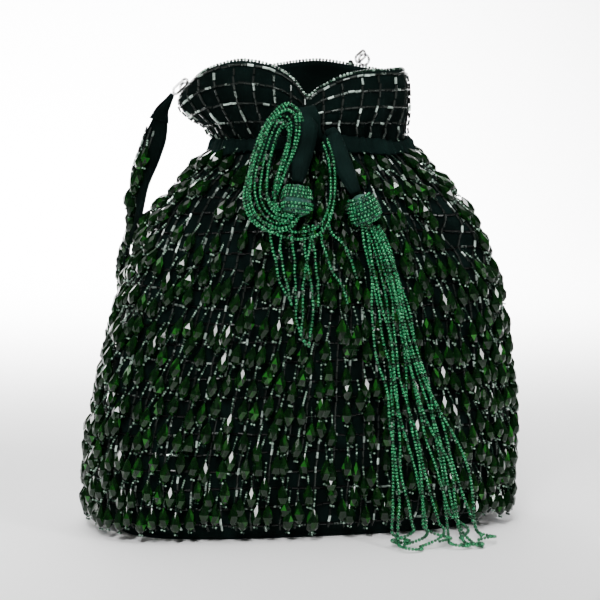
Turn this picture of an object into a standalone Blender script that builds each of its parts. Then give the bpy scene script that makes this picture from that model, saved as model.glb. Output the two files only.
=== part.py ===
"""A beaded velvet potli: a drawstring pouch with a ruffled mouth, tiers of crystal fringe,
two bead tassels on the drawstring and a beaded strap that swings on two metal rings.

Metres, +Z up. The origin is the centre of the flat base, the front of the pouch faces -Y
and the long way of its oval is X. Lengths in the tables below are in millimetres.
"""

import math

import bmesh
import bpy
import numpy as np
from mathutils import Matrix, Vector

MM = 0.001
GAP = 0.3 * MM  # kept between two pieces that touch

# Pouch: height, half width, half depth and sideways shift of the velvet's outer face.
BODY_SECTIONS = [
    (0.3, 91.0, 47.0, -3.0),
    (6.0, 97.5, 51.0, -3.0),
    (18.0, 102.0, 54.0, -2.5),
    (35.0, 103.5, 55.0, -1.5),
    (60.0, 101.5, 55.0, 0.0),
    (85.0, 97.5, 54.5, 1.5),
    (110.0, 93.0, 53.5, 4.0),
    (130.0, 87.5, 51.5, 5.0),
    (145.0, 81.5, 49.0, 5.0),
    (160.0, 73.0, 45.0, 5.5),
    (172.0, 61.5, 40.0, 6.0),
    (182.0, 51.0, 34.5, 5.5),
    (190.0, 45.5, 31.5, 3.8),
    (196.0, 45.0, 32.0, 2.0),
]
NECK_HEIGHT = 196.0
ROUNDNESS = [(0.0, 3.0), (50.0, 2.8), (120.0, 2.4), (190.0, 2.1), (240.0, 2.1)]  # oval's exponent by height
VELVET_THICKNESS = 1.8 * MM

# Ruffle above the neck: angle from +X, how far the rim flares, and the height of the rim.
RUFFLE_RIM = [
    (0.0, 3.5, 221.0),
    (25.0, 6.0, 225.0),
    (50.0, 4.5, 229.0),
    (78.0, 3.5, 232.0),
    (102.0, 4.0, 229.0),
    (130.0, 7.0, 225.0),
    (155.0, 13.0, 219.0),
    (180.0, 18.5, 211.5),
    (205.0, 17.0, 221.5),
    (232.0, 14.0, 227.0),
    (246.0, 10.0, 223.5),
    (255.0, 5.5, 217.5),
    (262.0, 1.5, 210.5),
    (269.0, 3.5, 214.5),
    (278.0, 5.5, 219.0),
    (308.0, 9.0, 223.5),
    (335.0, 5.0, 224.5),
]
AROUND = 48  # corners of the oval sections
RUFFLE_ROWS = 4

# Inside the pouch
LINING_INSET = 3.7
LINING_THICKNESS = 0.7 * MM
LINING_HEIGHTS = (6.0, 18.0, 40.0, 75.0, 110.0, 130.0, 145.0, 160.0, 172.0, 182.0)
BASE_THICKNESS = 2.0
BOARD_THICKNESS = 2.0

# Crystal fringe: each tier is a thin skirt that overlaps the next one, like roof tiles.
TIER_COUNT = 13
TIER_TOP_HEIGHT = 175.5
TIER_PITCH = 12.9
TIER_DROP = 18.5
TIER_AROUND = 36
TIER_TOP_OUT = 0.9
TIER_HEM_OUT = (3.7, 5.7)
TIER_LOWEST = 0.8

# Drawstring
STRING_HEIGHT = 189.5
STRING_HALF = (1.9, 5.0)  # half thickness and half width round the neck
STRING_CLEAR = 0.8
STRING_END_RADIUS = 2.4
STRING_END_ROUTES = [
    [(-3.5, -40.8, 190), (-5.5, -41.8, 196), (-7, -43.5, 201), (-8.5, -45.3, 199),
     (-9.5, -46.8, 191), (-11, -49.5, 183), (-13, -53.5, 175.5), (-14.8, -57, 169.6)],
    [(4, -40.8, 191.5), (5.2, -42.6, 192.8), (6.2, -44.8, 189), (7.2, -47.3, 183.5),
     (8.6, -51.2, 177), (10.6, -55.6, 170.5), (12.8, -59.3, 164.6)],
]
CAP_PROFILE = [(0.6, 0.0), (3.4, -0.6), (5.2, -2.8), (6.6, -6.0), (7.2, -9.5), (6.8, -12.5), (4.6, -13.8)]
CAP_PLACES = [((-15.3, -58.6, 168.4), 14.0, -4.0), ((13.6, -60.4, 163.6), 8.0, 20.0)]

# Tassels: centre of the bundle of bead strands, its half width and its half thickness.
TASSEL_LOOPS = [
    (-15.5, -47.5, 204.5, 2.5, 2.0), (-21, -47.5, 205.5, 4, 2.4), (-27.5, -47, 197, 5, 3),
    (-32.5, -47.5, 184, 5.5, 3.4), (-36, -50.5, 171, 5.5, 3.4), (-37, -55, 160, 5, 3.2),
    (-32, -59.5, 150.5, 4.2, 3.0), (-20, -62.5, 146, 3.6, 2.8), (-8.5, -63, 148.5, 3, 2.4),
    (-1.2, -60.5, 157, 2.2, 1.8), (1.2, -56.5, 170, 1.8, 1.5), (0.6, -53, 182, 1.6, 1.3),
    (-0.4, -50, 192, 1.3, 1.2),
]
TASSEL_ENDS = [
    (-9, -62.6, 141.5, 17, 1.8), (-9, -63.3, 131, 20, 1.8), (-8.5, -64, 118, 17, 1.8),
    (-9, -64.4, 106, 9, 1.7), (-10, -64.6, 94, 3, 1.5),
]
TASSEL_STRANDS = [
    (18.2, -63, 148.4, 4.5, 4.2), (21, -64.8, 141, 6, 4.2), (26, -67, 123, 7, 4.2),
    (30.5, -68, 98, 8.5, 4.4), (35.5, -68.5, 70, 10, 4.4), (41, -70.5, 42, 14, 4.4),
    (45, -74.5, 20, 18, 4.0), (46, -80.5, 7.5, 21, 3.2), (46.5, -86, 3.4, 21, 2.6),
    (46.5, -91, 3.0, 20, 2.4),
]

# Handle: it turns about the line through the top bars of the two rings that stand on the rim.
RING_ANGLES = (180.0, 44.0)
RING_INSET = -2.2
RING_LIFT = 1.2  # from the rim to the middle of the ring's lower bar
RING_HALF = (2.9, 2.75)  # half width and half height of a ring, to the wire's middle
WIRE_RADIUS = 0.5 * MM
LINK_RADIUS = 1.9
LINK_LENGTH = 6.0
LINK_WAYS = ((-0.62, 0.50, -0.60), (-0.26, 0.90, -0.34))  # from the hinge line to the strap
RING_TAB = [(0.93, -4.4, 1.9, 0.5), (0.72, -5.0, 2.2, 0.6), (0.45, -5.2, 2.2, 0.6)]
STRAP_HALF = (5.5, 1.6)  # half width and half thickness of the velvet strap
BEADING_HALF = (5.8, 1.5)
BEADING_OUT = 4.0  # from the strap's middle to the beading's
STRAP_CLEAR = 10.2  # from the velvet to the strap's middle, over the fringe
STRAP_LEFT = [(-70, 5.4, 204), (-71.6, 6.6, 196), (-74.8, 8.4, 186), (-79.4, 10.4, 172)]
STRAP_ROUND_BODY = [
    (171, 154), (161, 138), (148, 120), (131, 104), (112, 93), (95, 89), (82, 95), (74, 110),
    (69, 130), (66, 150),
]
STRAP_RIGHT = [(40.5, 49.5, 172), (38, 45.5, 188), (36.5, 43, 203), (35.3, 41, 216), (34.8, 39.4, 223)]
SMOOTH_ANGLE = math.radians(40)


# ------------------------------------------------------------------ curves and surfaces


def smooth(rows, at, period=None):
    """Values read at `at` from a smooth curve through rows of (key, value, ...)."""
    rows = np.array(rows, float)
    if period:
        before, after = rows[-2:].copy(), rows[:2].copy()
        before[:, 0] -= period
        after[:, 0] += period
        rows = np.vstack([before, rows, after])
        at = at % period
    keys, values = rows[:, 0], rows[:, 1:]
    slopes = np.gradient(values, keys, axis=0)
    at = min(max(at, keys[0]), keys[-1])
    i = min(max(int(np.searchsorted(keys, at, side="right")) - 1, 0), len(keys) - 2)
    span = keys[i + 1] - keys[i]
    t = (at - keys[i]) / span
    return (
        (2 * t**3 - 3 * t**2 + 1) * values[i]
        + (t**3 - 2 * t**2 + t) * span * slopes[i]
        + (3 * t**2 - 2 * t**3) * values[i + 1]
        + (t**3 - t**2) * span * slopes[i + 1]
    )


def along(points, count):
    """`count` rows evenly spaced along a smooth curve through the given rows."""
    rows = np.array(points, float)
    steps = np.linalg.norm(np.diff(rows[:, :3], axis=0), axis=1)
    keyed = np.column_stack([np.concatenate([[0], np.cumsum(steps)]), rows])
    fine = np.array([smooth(keyed, s) for s in np.linspace(0, keyed[-1, 0], 400)])
    gone = np.concatenate([[0], np.cumsum(np.linalg.norm(np.diff(fine[:, :3], axis=0), axis=1))])
    want = np.linspace(0, gone[-1], count)
    return np.column_stack([np.interp(want, gone, fine[:, k]) for k in range(rows.shape[1])])


def oval(angle, half_width, half_depth, shift, height):
    """A point on the pouch's oval, `angle` degrees round from +X, in metres."""
    power = 2 / smooth(ROUNDNESS, height)[0]
    c, s = math.cos(math.radians(angle)), math.sin(math.radians(angle))
    x = shift + half_width * math.copysign(abs(c) ** power, c)
    y = half_depth * math.copysign(abs(s) ** power, s)
    return Vector((x, y, height)) * MM


def body(angle, height, out=0.0):
    """A point `out` mm outside the pouch's velvet."""
    half_width, half_depth, shift = smooth(BODY_SECTIONS, height)
    return oval(angle, half_width + out, half_depth + out, shift, height)


def ruffle(angle, share, out=0.0):
    """A point on the ruffle, from the neck at share 0 to the rim at 1."""
    flare, rim = smooth(RUFFLE_RIM, angle, period=360)
    half_width, half_depth, shift = smooth(BODY_SECTIONS, NECK_HEIGHT)
    spread = flare * math.sin(share * math.pi / 2) + out
    height = NECK_HEIGHT + (rim - NECK_HEIGHT) * share
    return oval(angle, half_width + spread, half_depth + spread, shift, height)


# ------------------------------------------------------------------ meshes and materials


def material(name, colour, roughness, metallic=0.0):
    """A Principled material, made once for each name."""
    found = bpy.data.materials.get(name)
    if found:
        return found
    made = bpy.data.materials.new(name)
    made.use_nodes = True
    shader = made.node_tree.nodes["Principled BSDF"]
    shader.inputs["Base Color"].default_value = (*colour, 1)
    shader.inputs["Roughness"].default_value = roughness
    shader.inputs["Metallic"].default_value = metallic
    return made


def velvet():
    return material("dark_green_velvet", (0.004, 0.012, 0.009), 0.85)


def satin():
    return material("green_lining_satin", (0.01, 0.035, 0.022), 0.5)


def stiff_card():
    return material("stiff_card", (0.32, 0.27, 0.2), 0.8)


def crystal():
    return material("green_crystal", (0.01, 0.06, 0.015), 0.12)


def seed_bead():
    return material("green_seed_bead", (0.01, 0.16, 0.08), 0.2)


def dark_nickel():
    return material("dark_nickel", (0.25, 0.25, 0.25), 0.3, 1.0)


def add_object(name, data, finish, parent=None):
    """An object in the potli's collection, with its material."""
    made = bpy.data.objects.new(name, data)
    bpy.data.collections["potli_bag"].objects.link(made)
    data.materials.append(finish)
    if parent:
        made.parent = parent
        made.matrix_parent_inverse = parent.matrix_world.inverted()
    return made


def mesh_from(name, points, faces, finish, parent=None):
    """A mesh object with its faces turned outwards and its smooth sides shaded smooth."""
    data = bpy.data.meshes.new(name)
    data.from_pydata([tuple(p) for p in points], [], faces)
    shape = bmesh.new()
    shape.from_mesh(data)
    bmesh.ops.recalc_face_normals(shape, faces=shape.faces)
    shape.to_mesh(data)
    shape.free()
    data.shade_smooth()
    data.set_sharp_from_angle(angle=SMOOTH_ANGLE)
    return add_object(name, data, finish, parent)


def skin_faces(rings, ring_size, closed_along):
    """The quads between neighbouring rings of points, each ring being a closed loop."""
    faces = []
    for i in range(rings if closed_along else rings - 1):
        here, there = i * ring_size, (i + 1) % rings * ring_size
        for j in range(ring_size):
            k = (j + 1) % ring_size
            faces.append((here + j, here + k, there + k, there + j))
    return faces


def hoop(name, sections, finish, parent=None):
    """A closed hoop through cross-sections that follow each other round."""
    points = [p for section in sections for p in section]
    return mesh_from(name, points, skin_faces(len(sections), len(sections[0]), True), finish, parent)


def shell(name, rings, thickness, finish, closed_bottom=False):
    """A cloth tube through the rings, thickened inwards."""
    points = [p for ring in rings for p in ring]
    size = len(rings[0])
    faces = skin_faces(len(rings), size, False)
    if closed_bottom:
        faces.append(tuple(range(size)))
    made = mesh_from(name, points, faces, finish)
    if made.data.polygons[0].normal.dot(made.data.polygons[0].center) < 0:
        made.data.flip_normals()
    thick = made.modifiers.new("cloth", "SOLIDIFY")
    thick.thickness = thickness
    thick.offset = -1
    return made


def sweep(name, rows, facing, finish, sides=10, parent=None):
    """A tube with an oval section, along rows of (x, y, z, half width, half thickness) in mm.
    facing(point) gives the way that the thin side looks."""
    centres = [Vector(row[:3]) * MM for row in rows]
    points = []
    for i, (centre, row) in enumerate(zip(centres, rows)):
        ahead = (centres[min(i + 1, len(rows) - 1)] - centres[max(i - 1, 0)]).normalized()
        normal = Vector(facing(centre))
        normal = (normal - normal.dot(ahead) * ahead).normalized()
        side = ahead.cross(normal)
        for k in range(sides):
            turn = 2 * math.pi * k / sides
            wide, thick = row[3] * MM * math.cos(turn), row[4] * MM * math.sin(turn)
            points.append(centre + side * wide + normal * thick)
    faces = skin_faces(len(rows), sides, False)
    faces += [tuple(range(sides)), tuple(range(len(points) - sides, len(points)))]
    return mesh_from(name, points, faces, finish, parent)


def wire(name, points, radius, finish, closed=False, parent=None, resolution=2):
    """A round wire or cord through the points, with filled ends."""
    data = bpy.data.curves.new(name, "CURVE")
    data.dimensions = "3D"
    data.bevel_depth = radius
    data.bevel_resolution = resolution
    data.use_fill_caps = not closed
    line = data.splines.new("POLY")
    line.points.add(len(points) - 1)
    for slot, point in zip(line.points, points):
        slot.co = (*point, 1)
    line.use_cyclic_u = closed
    return add_object(name, data, finish, parent)


# ------------------------------------------------------------------ the pouch


def build_pouch():
    """Velvet side wall and ruffle in one cloth, open at the top and over the base."""
    angles = [360 * k / AROUND for k in range(AROUND)]
    rings = [[body(a, row[0]) for a in angles] for row in BODY_SECTIONS]
    for row in range(1, RUFFLE_ROWS + 1):
        rings.append([ruffle(a, row / RUFFLE_ROWS) for a in angles])
    shell("velvet_pouch", rings, VELVET_THICKNESS, velvet())


def build_lining():
    """Satin bag inside the velvet, closed over the base board."""
    angles = [360 * k / TIER_AROUND for k in range(TIER_AROUND)]
    rings = [[body(a, h, -LINING_INSET) for a in angles] for h in LINING_HEIGHTS]
    shell("lining", rings, LINING_THICKNESS, satin(), closed_bottom=True)


def build_plate(name, bottom, thickness, inset, finish):
    """An oval plate inside the foot of the pouch, its rim rounded by a small step."""
    angles = [360 * k / AROUND for k in range(AROUND)]
    half_width, half_depth, shift = smooth(BODY_SECTIONS, BODY_SECTIONS[0][0])
    sections = []
    for angle in angles:
        rim = [oval(angle, half_width - e, half_depth - e, shift, bottom + h) for e, h in (
            (inset + 0.6, 0), (inset, 0.5), (inset, thickness - 0.5), (inset + 0.6, thickness))]
        sections.append(rim)
    points = [p for section in sections for p in section]
    faces = []
    for i in range(AROUND):
        here, there = 4 * i, 4 * ((i + 1) % AROUND)
        faces += [(here + k, here + k + 1, there + k + 1, there + k) for k in range(3)]
    faces.append(tuple(4 * i for i in range(AROUND)))
    faces.append(tuple(4 * i + 3 for i in range(AROUND)))
    mesh_from(name, points, faces, finish)


def build_base():
    """Velvet base panel that the bag stands on, and the stiff card over it."""
    build_plate("base_panel", 0.0, BASE_THICKNESS, 2.4, velvet())
    board_bottom = BASE_THICKNESS + GAP / MM
    build_plate("base_board", board_bottom, BOARD_THICKNESS, 2.8, stiff_card())


def build_fringe():
    """Tiers of crystal drops, each a skirt that hangs over the top of the next."""
    angles = [360 * k / TIER_AROUND for k in range(TIER_AROUND)]
    for tier in range(TIER_COUNT):
        top = TIER_TOP_HEIGHT - tier * TIER_PITCH
        hem = max(top - TIER_DROP, TIER_LOWEST)
        sections = []
        for angle in angles:
            sections.append([
                body(angle, top, TIER_TOP_OUT),
                body(angle, hem, TIER_HEM_OUT[0]),
                body(angle, hem, TIER_HEM_OUT[1]),
            ])
        hoop(f"fringe_tier_{tier + 1:02d}", sections, crystal())


# ------------------------------------------------------------------ drawstring and tassels


def build_drawstring():
    """The velvet drawstring round the neck, and its two ends that hang in front."""
    half_thick, half_wide = STRING_HALF
    sections = []
    for k in range(AROUND):
        section = []
        for corner in range(8):
            turn = 2 * math.pi * corner / 8
            out = half_thick * (1 + math.cos(turn)) + STRING_CLEAR
            height = STRING_HEIGHT + half_wide * math.sin(turn)
            section.append(body(360 * k / AROUND, height, out))
        sections.append(section)
    hoop("drawstring_neck", sections, velvet())
    for number, route in enumerate(STRING_END_ROUTES, 1):
        points = [Vector(p) * MM for p in along(route, 12)]
        wire(f"drawstring_end_{number}", points, STRING_END_RADIUS * MM, velvet(), resolution=3)


def build_caps():
    """Bead-covered caps that hold the strands of the tassels."""
    for number, (place, forward, sideways) in enumerate(CAP_PLACES, 1):
        data = bpy.data.meshes.new(f"tassel_cap_{number}")
        rim = [(0.0, CAP_PROFILE[0][1])] + CAP_PROFILE + [(0.0, CAP_PROFILE[-1][1])]
        data.from_pydata([(r * MM, 0, h * MM) for r, h in rim],
                         [(i, i + 1) for i in range(len(rim) - 1)], [])
        cap = add_object(data.name, data, seed_bead())
        turn = cap.modifiers.new("turned", "SCREW")
        turn.steps = turn.render_steps = 14
        turn.use_merge_vertices = True
        turn.merge_threshold = 0.00001
        turn.use_smooth_shade = True
        lean = Matrix.Rotation(math.radians(-forward), 4, "X")
        lean = Matrix.Rotation(math.radians(-sideways), 4, "Y") @ lean
        cap.matrix_world = Matrix.Translation(Vector(place) * MM) @ lean


def towards_front(_point):
    return (0, -1, 0.15)


def build_tassels():
    """Bundles of bead strands: one looped up over its cap, one hanging to the floor."""
    sweep("tassel_loops_1", along(TASSEL_LOOPS, 26), towards_front, seed_bead(), 8)
    sweep("tassel_ends_1", along(TASSEL_ENDS, 9), towards_front, seed_bead(), 8)
    sweep("tassel_strands_2", along(TASSEL_STRANDS, 18), towards_front, seed_bead(), 10)


# ------------------------------------------------------------------ handle


def outwards(point):
    """Away from the pouch's middle, level."""
    return (point.x, point.y, 0)


def hinge_points():
    """The middles of the top bars of the left and the right ring."""
    lift = Vector((0, 0, (RING_LIFT + 2 * RING_HALF[1]) * MM))
    return [ruffle(angle, 1, RING_INSET) + lift for angle in RING_ANGLES]


def hinge_axis():
    left, right = hinge_points()
    return (right - left).normalized()


def build_rim_ring(side, pivot):
    """An upright metal ring on the rim of the ruffle, its top bar on the hinge line."""
    axis = hinge_axis()
    level = Vector((-axis.y, axis.x, 0)).normalized()
    up = axis.cross(level)
    half_wide, half_high = (v * MM for v in RING_HALF)
    middle = pivot - up * half_high
    points = []
    for k in range(18):
        turn = 2 * math.pi * k / 18
        points.append(middle + axis * half_wide * math.cos(turn) + up * half_high * math.sin(turn))
    wire(f"rim_ring_{side}", points, WIRE_RADIUS, dark_nickel(), closed=True)


def build_ring_tab(side, angle):
    """A folded velvet tab inside the ruffle, just under the ring that it holds."""
    rows = []
    for share, out, half_wide, half_thick in RING_TAB:
        rows.append((*(ruffle(angle, share, out) / MM), half_wide, half_thick))
    sweep(f"ring_tab_{side}", rows, outwards, velvet(), 8)


def build_link(side, pivot, way, swing):
    """An oval wire link through the ring, from the hinge line towards the end of the strap."""
    down = Vector(way).normalized()
    across = hinge_axis().cross(down).normalized()
    radius, reach = LINK_RADIUS * MM, LINK_LENGTH * MM
    points = []
    for k in range(16):
        turn = math.pi * (k % 8) / 7
        far = k >= 8
        along_link = reach + radius * math.sin(turn) if far else -radius * math.sin(turn)
        sideways = radius * math.cos(turn) * (-1 if far else 1)
        points.append(pivot + down * along_link + across * sideways)
    wire(f"handle_link_{side}", points, WIRE_RADIUS, dark_nickel(), closed=True, parent=swing)
    return pivot + down * (reach + radius + WIRE_RADIUS + 1.5 * GAP)


def build_strap_tab(side, start, end, before_end, swing):
    """Gathered velvet end of the strap, drawn in to the link."""
    turn_in = end + (end - before_end) * 0.35
    stop = end + (end - before_end) * 0.14
    rows = [
        (*(start / MM), 1.2, 1.0),
        (*(start.lerp(turn_in, 0.45) / MM), 2.2, 1.7),
        (*(turn_in / MM), 3.6, 2.2),
        (*(stop / MM), 4.6, 2.0),
    ]
    sweep(f"handle_tab_{side}", along(rows, 7), outwards, velvet(), 8, swing)


def strap_route():
    """Middle of the strap, from the left link round the back of the pouch to the right one."""
    behind = [tuple(body(angle, height, STRAP_CLEAR) / MM) for angle, height in STRAP_ROUND_BODY]
    return along(STRAP_LEFT + behind + STRAP_RIGHT, 46)


def build_handle():
    """The strap with its beading, tabs and links, all turning about the line of the rings."""
    pivots = hinge_points()
    swing = bpy.data.objects.new("handle_hinge_line", None)
    swing.location = (pivots[0] + pivots[1]) / 2
    bpy.data.collections["potli_bag"].objects.link(swing)
    bpy.context.view_layer.update()
    route = [Vector(row) for row in strap_route()]
    ends = ((route[0], route[2]), (route[-1], route[-3]))
    for side, pivot, angle, way, end in zip(("left", "right"), pivots, RING_ANGLES, LINK_WAYS, ends):
        build_rim_ring(side, pivot)
        build_ring_tab(side, angle)
        tab_start = build_link(side, pivot, way, swing)
        build_strap_tab(side, tab_start, end[0] * MM, end[1] * MM, swing)
    sweep("handle_strap", [(*row, *STRAP_HALF) for row in route], outwards, velvet(), 8, swing)
    beading = []
    for row in route[1:-1]:
        away = Vector((row.x, row.y, 0)).normalized() * BEADING_OUT
        beading.append((*(row + away), *BEADING_HALF))
    sweep("handle_beading", beading, outwards, crystal(), 8, swing)


def main():
    for old in list(bpy.data.objects):
        bpy.data.objects.remove(old, do_unlink=True)
    bpy.context.scene.collection.children.link(bpy.data.collections.new("potli_bag"))
    build_pouch()
    build_lining()
    build_base()
    build_fringe()
    build_drawstring()
    build_caps()
    build_tassels()
    build_handle()


main()
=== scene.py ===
"""Looks of a beaded velvet potli: a drawstring pouch of dark green velvet with a ruffled mouth,
a grid of bugle beads, tiers of hanging crystal drops, two bead tassels and a beaded strap.

Metres, +Z up, the front of the pouch facing -Y. Lengths in the tables are in millimetres.
"""

import math

import bpy
import numpy as np
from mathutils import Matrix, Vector


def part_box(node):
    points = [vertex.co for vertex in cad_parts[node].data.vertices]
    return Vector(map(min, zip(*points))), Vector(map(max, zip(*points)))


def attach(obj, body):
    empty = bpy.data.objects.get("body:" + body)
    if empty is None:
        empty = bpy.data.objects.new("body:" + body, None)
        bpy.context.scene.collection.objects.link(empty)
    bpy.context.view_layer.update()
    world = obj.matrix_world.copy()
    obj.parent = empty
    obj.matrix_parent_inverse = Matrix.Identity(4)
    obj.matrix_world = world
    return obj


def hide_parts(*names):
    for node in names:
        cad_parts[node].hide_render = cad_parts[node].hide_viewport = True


bl_info = {
    "name": "Beaded Potli",
    "version": (1, 0, 0),
    "blender": (4, 5, 0),
    "location": "3D View > Sidebar > Potli",
    "description": "Builds a beaded velvet drawstring pouch round its packed frame",
    "category": "Object",
}

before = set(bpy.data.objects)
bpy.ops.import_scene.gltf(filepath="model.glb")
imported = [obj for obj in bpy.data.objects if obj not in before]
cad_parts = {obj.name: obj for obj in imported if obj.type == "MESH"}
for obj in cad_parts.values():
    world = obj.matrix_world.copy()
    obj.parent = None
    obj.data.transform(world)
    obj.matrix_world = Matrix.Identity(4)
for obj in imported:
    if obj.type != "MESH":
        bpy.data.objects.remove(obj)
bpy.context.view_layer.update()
MM = 0.001

# ------------------------------------------------------------------ the pouch's own shape

# Height, half width, half depth and sideways shift of the velvet's outer face.
BODY_SECTIONS = [
    (0.3, 91.0, 47.0, -3.0), (6.0, 97.5, 51.0, -3.0), (18.0, 102.0, 54.0, -2.5),
    (35.0, 103.5, 55.0, -1.5), (60.0, 101.5, 55.0, 0.0), (85.0, 97.5, 54.5, 1.5),
    (110.0, 93.0, 53.5, 4.0), (130.0, 87.5, 51.5, 5.0), (145.0, 81.5, 49.0, 5.0),
    (160.0, 73.0, 45.0, 5.5), (172.0, 61.5, 40.0, 6.0), (182.0, 51.0, 34.5, 5.5),
    (190.0, 45.5, 31.5, 3.8), (196.0, 45.0, 32.0, 2.0),
]
NECK_HEIGHT = 196.0
# The oval's exponent at each height: 2 is an ellipse, and a higher one is squarer.
ROUNDNESS = [(0.0, 3.0), (50.0, 2.8), (120.0, 2.4), (190.0, 2.1), (240.0, 2.1)]

# Ruffle above the neck: angle from +X, how far the rim flares, and the height of the rim.
RUFFLE_RIM = [
    (0.0, 3.5, 221.0), (25.0, 6.0, 225.0), (50.0, 4.5, 229.0), (78.0, 3.5, 232.0),
    (102.0, 4.0, 229.0), (130.0, 7.0, 225.0), (155.0, 13.0, 219.0), (180.0, 18.5, 211.5),
    (205.0, 17.0, 221.5), (232.0, 14.0, 227.0), (246.0, 10.0, 223.5), (255.0, 5.5, 217.5),
    (262.0, 1.5, 210.5), (269.0, 3.5, 214.5), (278.0, 5.5, 219.0), (308.0, 9.0, 223.5),
    (335.0, 5.0, 224.5),
]
RUFFLE_BULGE = 2.6
RUFFLE_FOOT = 3.6  # how far the ruffle's foot stands out over the drawstring
FOOT_FROM = 187.5  # height where that foot begins
GATHER_DEPTH = 1.0
GATHERS_FROM = 110.0  # height where the gathers below the neck begin
SAG = 1.0  # broad unevenness of the cloth

# Fold that runs down the right shoulder: middle angle and height, and how deep it is.
FOLD_PLACE = (318.0, 141.0)
FOLD_DEPTH = 5.0

# ------------------------------------------------------------------ cords, repeated from the CAD

STRING_HEIGHT = 187.5  # the velvet tube round the neck lies a little lower than the CAD one
STRING_OUT = 2.2
STRING_HALF_HEIGHT = 3.8
STRING_HALF_THICKNESS = 1.9
STRING_END_ROUTES = [
    [(-3.5, -40.8, 190), (-5.5, -41.8, 196), (-7, -43.5, 201), (-8.5, -45.3, 199),
     (-9.5, -46.8, 191), (-11, -49.5, 183), (-13, -53.5, 175.5), (-14.8, -57, 169.6)],
    [(4, -40.8, 191.5), (5.2, -42.6, 192.8), (6.2, -44.8, 189), (7.2, -47.3, 183.5),
     (8.6, -51.2, 177), (10.6, -55.6, 170.5), (12.8, -59.3, 164.6)],
]
# Half width and half thickness of each end, from the neck to its cap.
STRING_END_SHAPES = [
    [(0.0, 4.2, 1.6), (0.2, 5.9, 2.0), (0.45, 6.1, 2.2), (0.72, 4.6, 2.2), (1.0, 2.6, 2.0)],
    [(0.0, 3.0, 1.6), (0.3, 4.2, 2.0), (0.6, 4.4, 2.2), (0.85, 3.4, 2.1), (1.0, 2.6, 2.0)],
]

# Caps of the tassels: place, lean forwards and lean sideways in degrees.
CAP_PLACES = [((-15.3, -58.6, 168.4), 14.0, -4.0), ((13.6, -60.4, 163.6), 8.0, 20.0)]
CAP_CORE = [
    (1.2, 0.2), (4.2, -0.9), (5.9, -3.2), (6.5, -6.2), (6.8, -9.6), (6.4, -12.6), (4.2, -13.6),
]
CAP_BARE = (-9.6, -7.6)  # heights between which the first cap's thread shows

# Strands thrown up over the first tassel's cap: from its foot round the left side, over the
# top and back down inside, as the outermost and the innermost of them lie.
HAIRPIN_OUTER = [
    (-14, -60.5, 155.5), (-20, -63, 148.5), (-29, -61.5, 147), (-35.5, -58.5, 151.5),
    (-38.6, -54.6, 161), (-37, -50.5, 172), (-33, -47.6, 184), (-28, -47.2, 196),
    (-22.5, -47.4, 203.5), (-17, -47.8, 206), (-13.8, -48.6, 203), (-13.4, -49.4, 196),
    (-15.4, -50.2, 186), (-19.5, -52, 176), (-23.5, -54.5, 167), (-26.5, -57.5, 158),
    (-25, -60.5, 152.5), (-18, -63.4, 150.5),
]
HAIRPIN_INNER = [
    (-16, -60.5, 157.5), (-20, -62.5, 155.5), (-24, -61, 156.5), (-27, -58.5, 160),
    (-28.4, -55, 166), (-27.6, -51.8, 173), (-26, -49.8, 181), (-23.6, -49.2, 189),
    (-21.4, -49.2, 194), (-19.6, -49.4, 196), (-18.4, -50, 194.5), (-18.6, -50.4, 190),
    (-20, -51.2, 183), (-22.5, -52.8, 176), (-24.8, -54.8, 169), (-26, -57.6, 162.5),
    (-24.6, -60.2, 158), (-18.6, -62.2, 155),
]
# Way of the strands that go on round the right side and up under the drawstring.
LOOP_ROUND = [
    (-9.5, -45.5, 197), (-12.5, -46.5, 204), (-17.5, -47.2, 206.8), (-23.5, -47.2, 203),
    (-28.5, -47.2, 196), (-33.5, -47.6, 184), (-37.2, -50.5, 171), (-38.8, -55.0, 160.5),
    (-35.4, -59.0, 151.0), (-27.0, -62.0, 146.0), (-14.0, -63.6, 143.6), (-4.5, -62.6, 147.0),
    (1.2, -59.6, 157), (3.4, -55.6, 170), (3.0, -52.4, 181), (0.6, -49.4, 190.5),
]
HAIRPIN_WAYS_IN = (0.0, 0.17, 0.38, 0.58, 0.82, 1.0)  # each strand's place, outer to inner
LOOP_WAYS_IN = (0.0, 0.1)

# Short strands that hang below the loop.
SHORT_STRANDS = [
    [(-27.5, -60.0, 150.0), (-28.6, -61.2, 144.5), (-26.4, -61.6, 134.7), (-22.8, -61.8, 120.7),
     (-19.6, -62.0, 115.5)],
    [(-19.0, -61.0, 150.0), (-18.6, -61.8, 144.5), (-16.3, -62.0, 124.0), (-16.0, -62.4, 103.3),
     (-11.8, -62.4, 93.5)],
    [(-12.4, -61.0, 150.0), (-12.6, -61.8, 144.5), (-10.4, -62.0, 130.0), (-8.8, -62.2, 111.3),
     (-10.6, -62.4, 92.5)],
    [(-8.4, -61.0, 150.0), (-8.8, -61.8, 142.7), (-6.4, -62.0, 130.0), (-5.9, -62.2, 111.3)],
    [(-23.0, -60.6, 150.0), (-23.6, -61.6, 144.0), (-22.2, -62.0, 128.0), (-18.6, -62.2, 112.5)],
    [(-10.6, -61.0, 150.0), (-10.2, -61.8, 143.0), (-12.8, -62.2, 122.0), (-14.2, -62.4, 98.0)],
    [(-3.6, -61.0, 152.0), (-4.2, -61.8, 146.0), (-0.4, -62.2, 130.0), (6.6, -62.4, 119.2),
     (8.1, -62.4, 112.7)],
    [(-0.4, -60.4, 156.0), (-0.4, -61.4, 149.2), (6.6, -62.2, 139.6), (12.7, -62.8, 124.6)],
]

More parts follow.
